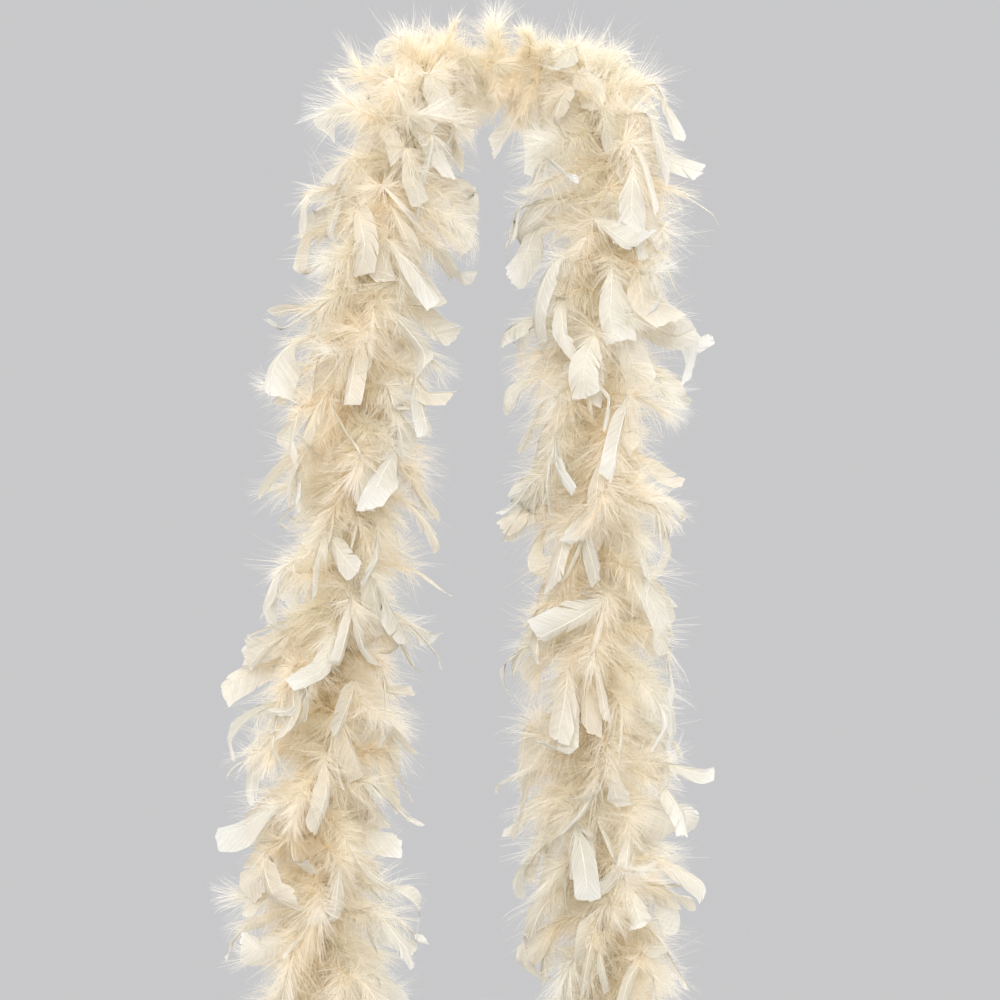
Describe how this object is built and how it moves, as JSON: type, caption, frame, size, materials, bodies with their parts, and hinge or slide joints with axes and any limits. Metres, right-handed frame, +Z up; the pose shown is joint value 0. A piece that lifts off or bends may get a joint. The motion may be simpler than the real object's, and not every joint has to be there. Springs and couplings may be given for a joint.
{
  "type": "feather boa",
  "caption": "Long fluffy feather boa hanging round a neck, both tails down the front: folded flat feathers and down on a twisted cord core.",
  "frame": {"origin": "on the axis of the wearer's neck, 22 mm below the middle of the boa's nape", "axes": "+Z up; -Y is the wearer's front, where both tails hang; +X is to the right in a view from the front"},
  "size_m": [0.4171, 0.3309, 0.9709],
  "materials": {
    "feather": "matte",
    "core_cord": "matte",
    "thread": "satin"
  },
  "bodies": {
    "nape": {"core_nape": "core_cord", "feathers_nape": "feather", "thread_nape": "thread"},
    "left_shoulder": {"core_left_shoulder": "core_cord", "feathers_left_shoulder": "feather", "thread_left_shoulder": "thread"},
    "left_tail_1": {"core_left_tail_1": "core_cord", "feathers_left_tail_1": "feather", "thread_left_tail_1": "thread"},
    "left_tail_2": {"core_left_tail_2": "core_cord", "feathers_left_tail_2": "feather", "thread_left_tail_2": "thread"},
    "left_tail_3": {"core_left_tail_3": "core_cord", "feathers_left_tail_3": "feather", "thread_left_tail_3": "thread"},
    "left_tail_4": {"core_left_tail_4": "core_cord", "feathers_left_tail_4": "feather", "thread_left_tail_4": "thread"},
    "left_tail_5": {"core_left_tail_5": "core_cord", "feathers_left_tail_5": "feather", "thread_left_tail_5": "thread"},
    "left_tail_6": {"core_left_tail_6": "core_cord", "feathers_left_tail_6": "feather", "thread_left_tail_6": "thread"},
    "left_tail_7": {"core_left_tail_7": "core_cord", "feathers_left_tail_7": "feather", "thread_left_tail_7": "thread", "left_end_knot": "core_cord"},
    "right_shoulder": {"core_right_shoulder": "core_cord", "feathers_right_shoulder": "feather", "thread_right_shoulder": "thread"},
    "right_tail_1": {"core_right_tail_1": "core_cord", "feathers_right_tail_1": "feather", "thread_right_tail_1": "thread"},
    "right_tail_2": {"core_right_tail_2": "core_cord", "feathers_right_tail_2": "feather", "thread_right_tail_2": "thread"},
    "right_tail_3": {"core_right_tail_3": "core_cord", "feathers_right_tail_3": "feather", "thread_right_tail_3": "thread"},
    "right_tail_4": {"core_right_tail_4": "core_cord", "feathers_right_tail_4": "feather", "thread_right_tail_4": "thread"},
    "right_tail_5": {"core_right_tail_5": "core_cord", "feathers_right_tail_5": "feather", "thread_right_tail_5": "thread"},
    "right_tail_6": {"core_right_tail_6": "core_cord", "feathers_right_tail_6": "feather", "thread_right_tail_6": "thread"},
    "right_tail_7": {"core_right_tail_7": "core_cord", "feathers_right_tail_7": "feather", "thread_right_tail_7": "thread", "right_end_knot": "core_cord"}
  },
  "joints": [
    {"name": "left_collar_turn", "type": "hinge", "parent": "nape", "child": "left_shoulder", "pos_m": [-0.05291, 0.03689, 0.0186], "axis": [0, 0, 1], "range_deg": [-30, 8]},
    {"name": "left_fore_aft_1", "type": "hinge", "parent": "left_shoulder", "child": "left_tail_1", "pos_m": [-0.09982, -0.07003, -0.08112], "axis": [1, 0, 0], "range_deg": [-30, 30]},
    {"name": "left_sideways_2", "type": "hinge", "parent": "left_tail_1", "child": "left_tail_2", "pos_m": [-0.11998, -0.09204, -0.18665], "axis": [0, 1, 0], "range_deg": [-5, 30]},
    {"name": "left_fore_aft_3", "type": "hinge", "parent": "left_tail_2", "child": "left_tail_3", "pos_m": [-0.13315, -0.09554, -0.29572], "axis": [1, 0, 0], "range_deg": [-30, 30]},
    {"name": "left_sideways_4", "type": "hinge", "parent": "left_tail_3", "child": "left_tail_4", "pos_m": [-0.14011, -0.09526, -0.40554], "axis": [0, 1, 0], "range_deg": [-8, 30]},
    {"name": "left_fore_aft_5", "type": "hinge", "parent": "left_tail_4", "child": "left_tail_5", "pos_m": [-0.1501, -0.09576, -0.51514], "axis": [1, 0, 0], "range_deg": [-30, 30]},
    {"name": "left_sideways_6", "type": "hinge", "parent": "left_tail_5", "child": "left_tail_6", "pos_m": [-0.15865, -0.09539, -0.62482], "axis": [0, 1, 0], "range_deg": [-15, 30]},
    {"name": "left_fore_aft_7", "type": "hinge", "parent": "left_tail_6", "child": "left_tail_7", "pos_m": [-0.16192, -0.09534, -0.7345], "axis": [1, 0, 0], "range_deg": [-30, 30]},
    {"name": "right_collar_turn", "type": "hinge", "parent": "nape", "child": "right_shoulder", "pos_m": [0.05285, 0.03678, 0.0191], "axis": [0, 0, 1], "range_deg": [-8, 30]},
    {"name": "right_fore_aft_1", "type": "hinge", "parent": "right_shoulder", "child": "right_tail_1", "pos_m": [0.0925, -0.0685, -0.08621], "axis": [1, 0, 0], "range_deg": [-30, 30]},
    {"name": "right_sideways_2", "type": "hinge", "parent": "right_tail_1", "child": "right_tail_2", "pos_m": [0.08485, -0.09192, -0.19191], "axis": [0, 1, 0], "range_deg": [-30, 5]},
    {"name": "right_fore_aft_3", "type": "hinge", "parent": "right_tail_2", "child": "right_tail_3", "pos_m": [0.07705, -0.09548, -0.30056], "axis": [1, 0, 0], "range_deg": [-30, 30]},
    {"name": "right_sideways_4", "type": "hinge", "parent": "right_tail_3", "child": "right_tail_4", "pos_m": [0.07976, -0.09529, -0.40952], "axis": [0, 1, 0], "range_deg": [-30, 8]},
    {"name": "right_fore_aft_5", "type": "hinge", "parent": "right_tail_4", "child": "right_tail_5", "pos_m": [0.08371, -0.09577, -0.51847], "axis": [1, 0, 0], "range_deg": [-30, 30]},
    {"name": "right_sideways_6", "type": "hinge", "parent": "right_tail_5", "child": "right_tail_6", "pos_m": [0.08207, -0.09536, -0.62747], "axis": [0, 1, 0], "range_deg": [-30, 15]},
    {"name": "right_fore_aft_7", "type": "hinge", "parent": "right_tail_6", "child": "right_tail_7", "pos_m": [0.08927, -0.09535, -0.73624], "axis": [1, 0, 0], "range_deg": [-30, 30]}
  ]
}
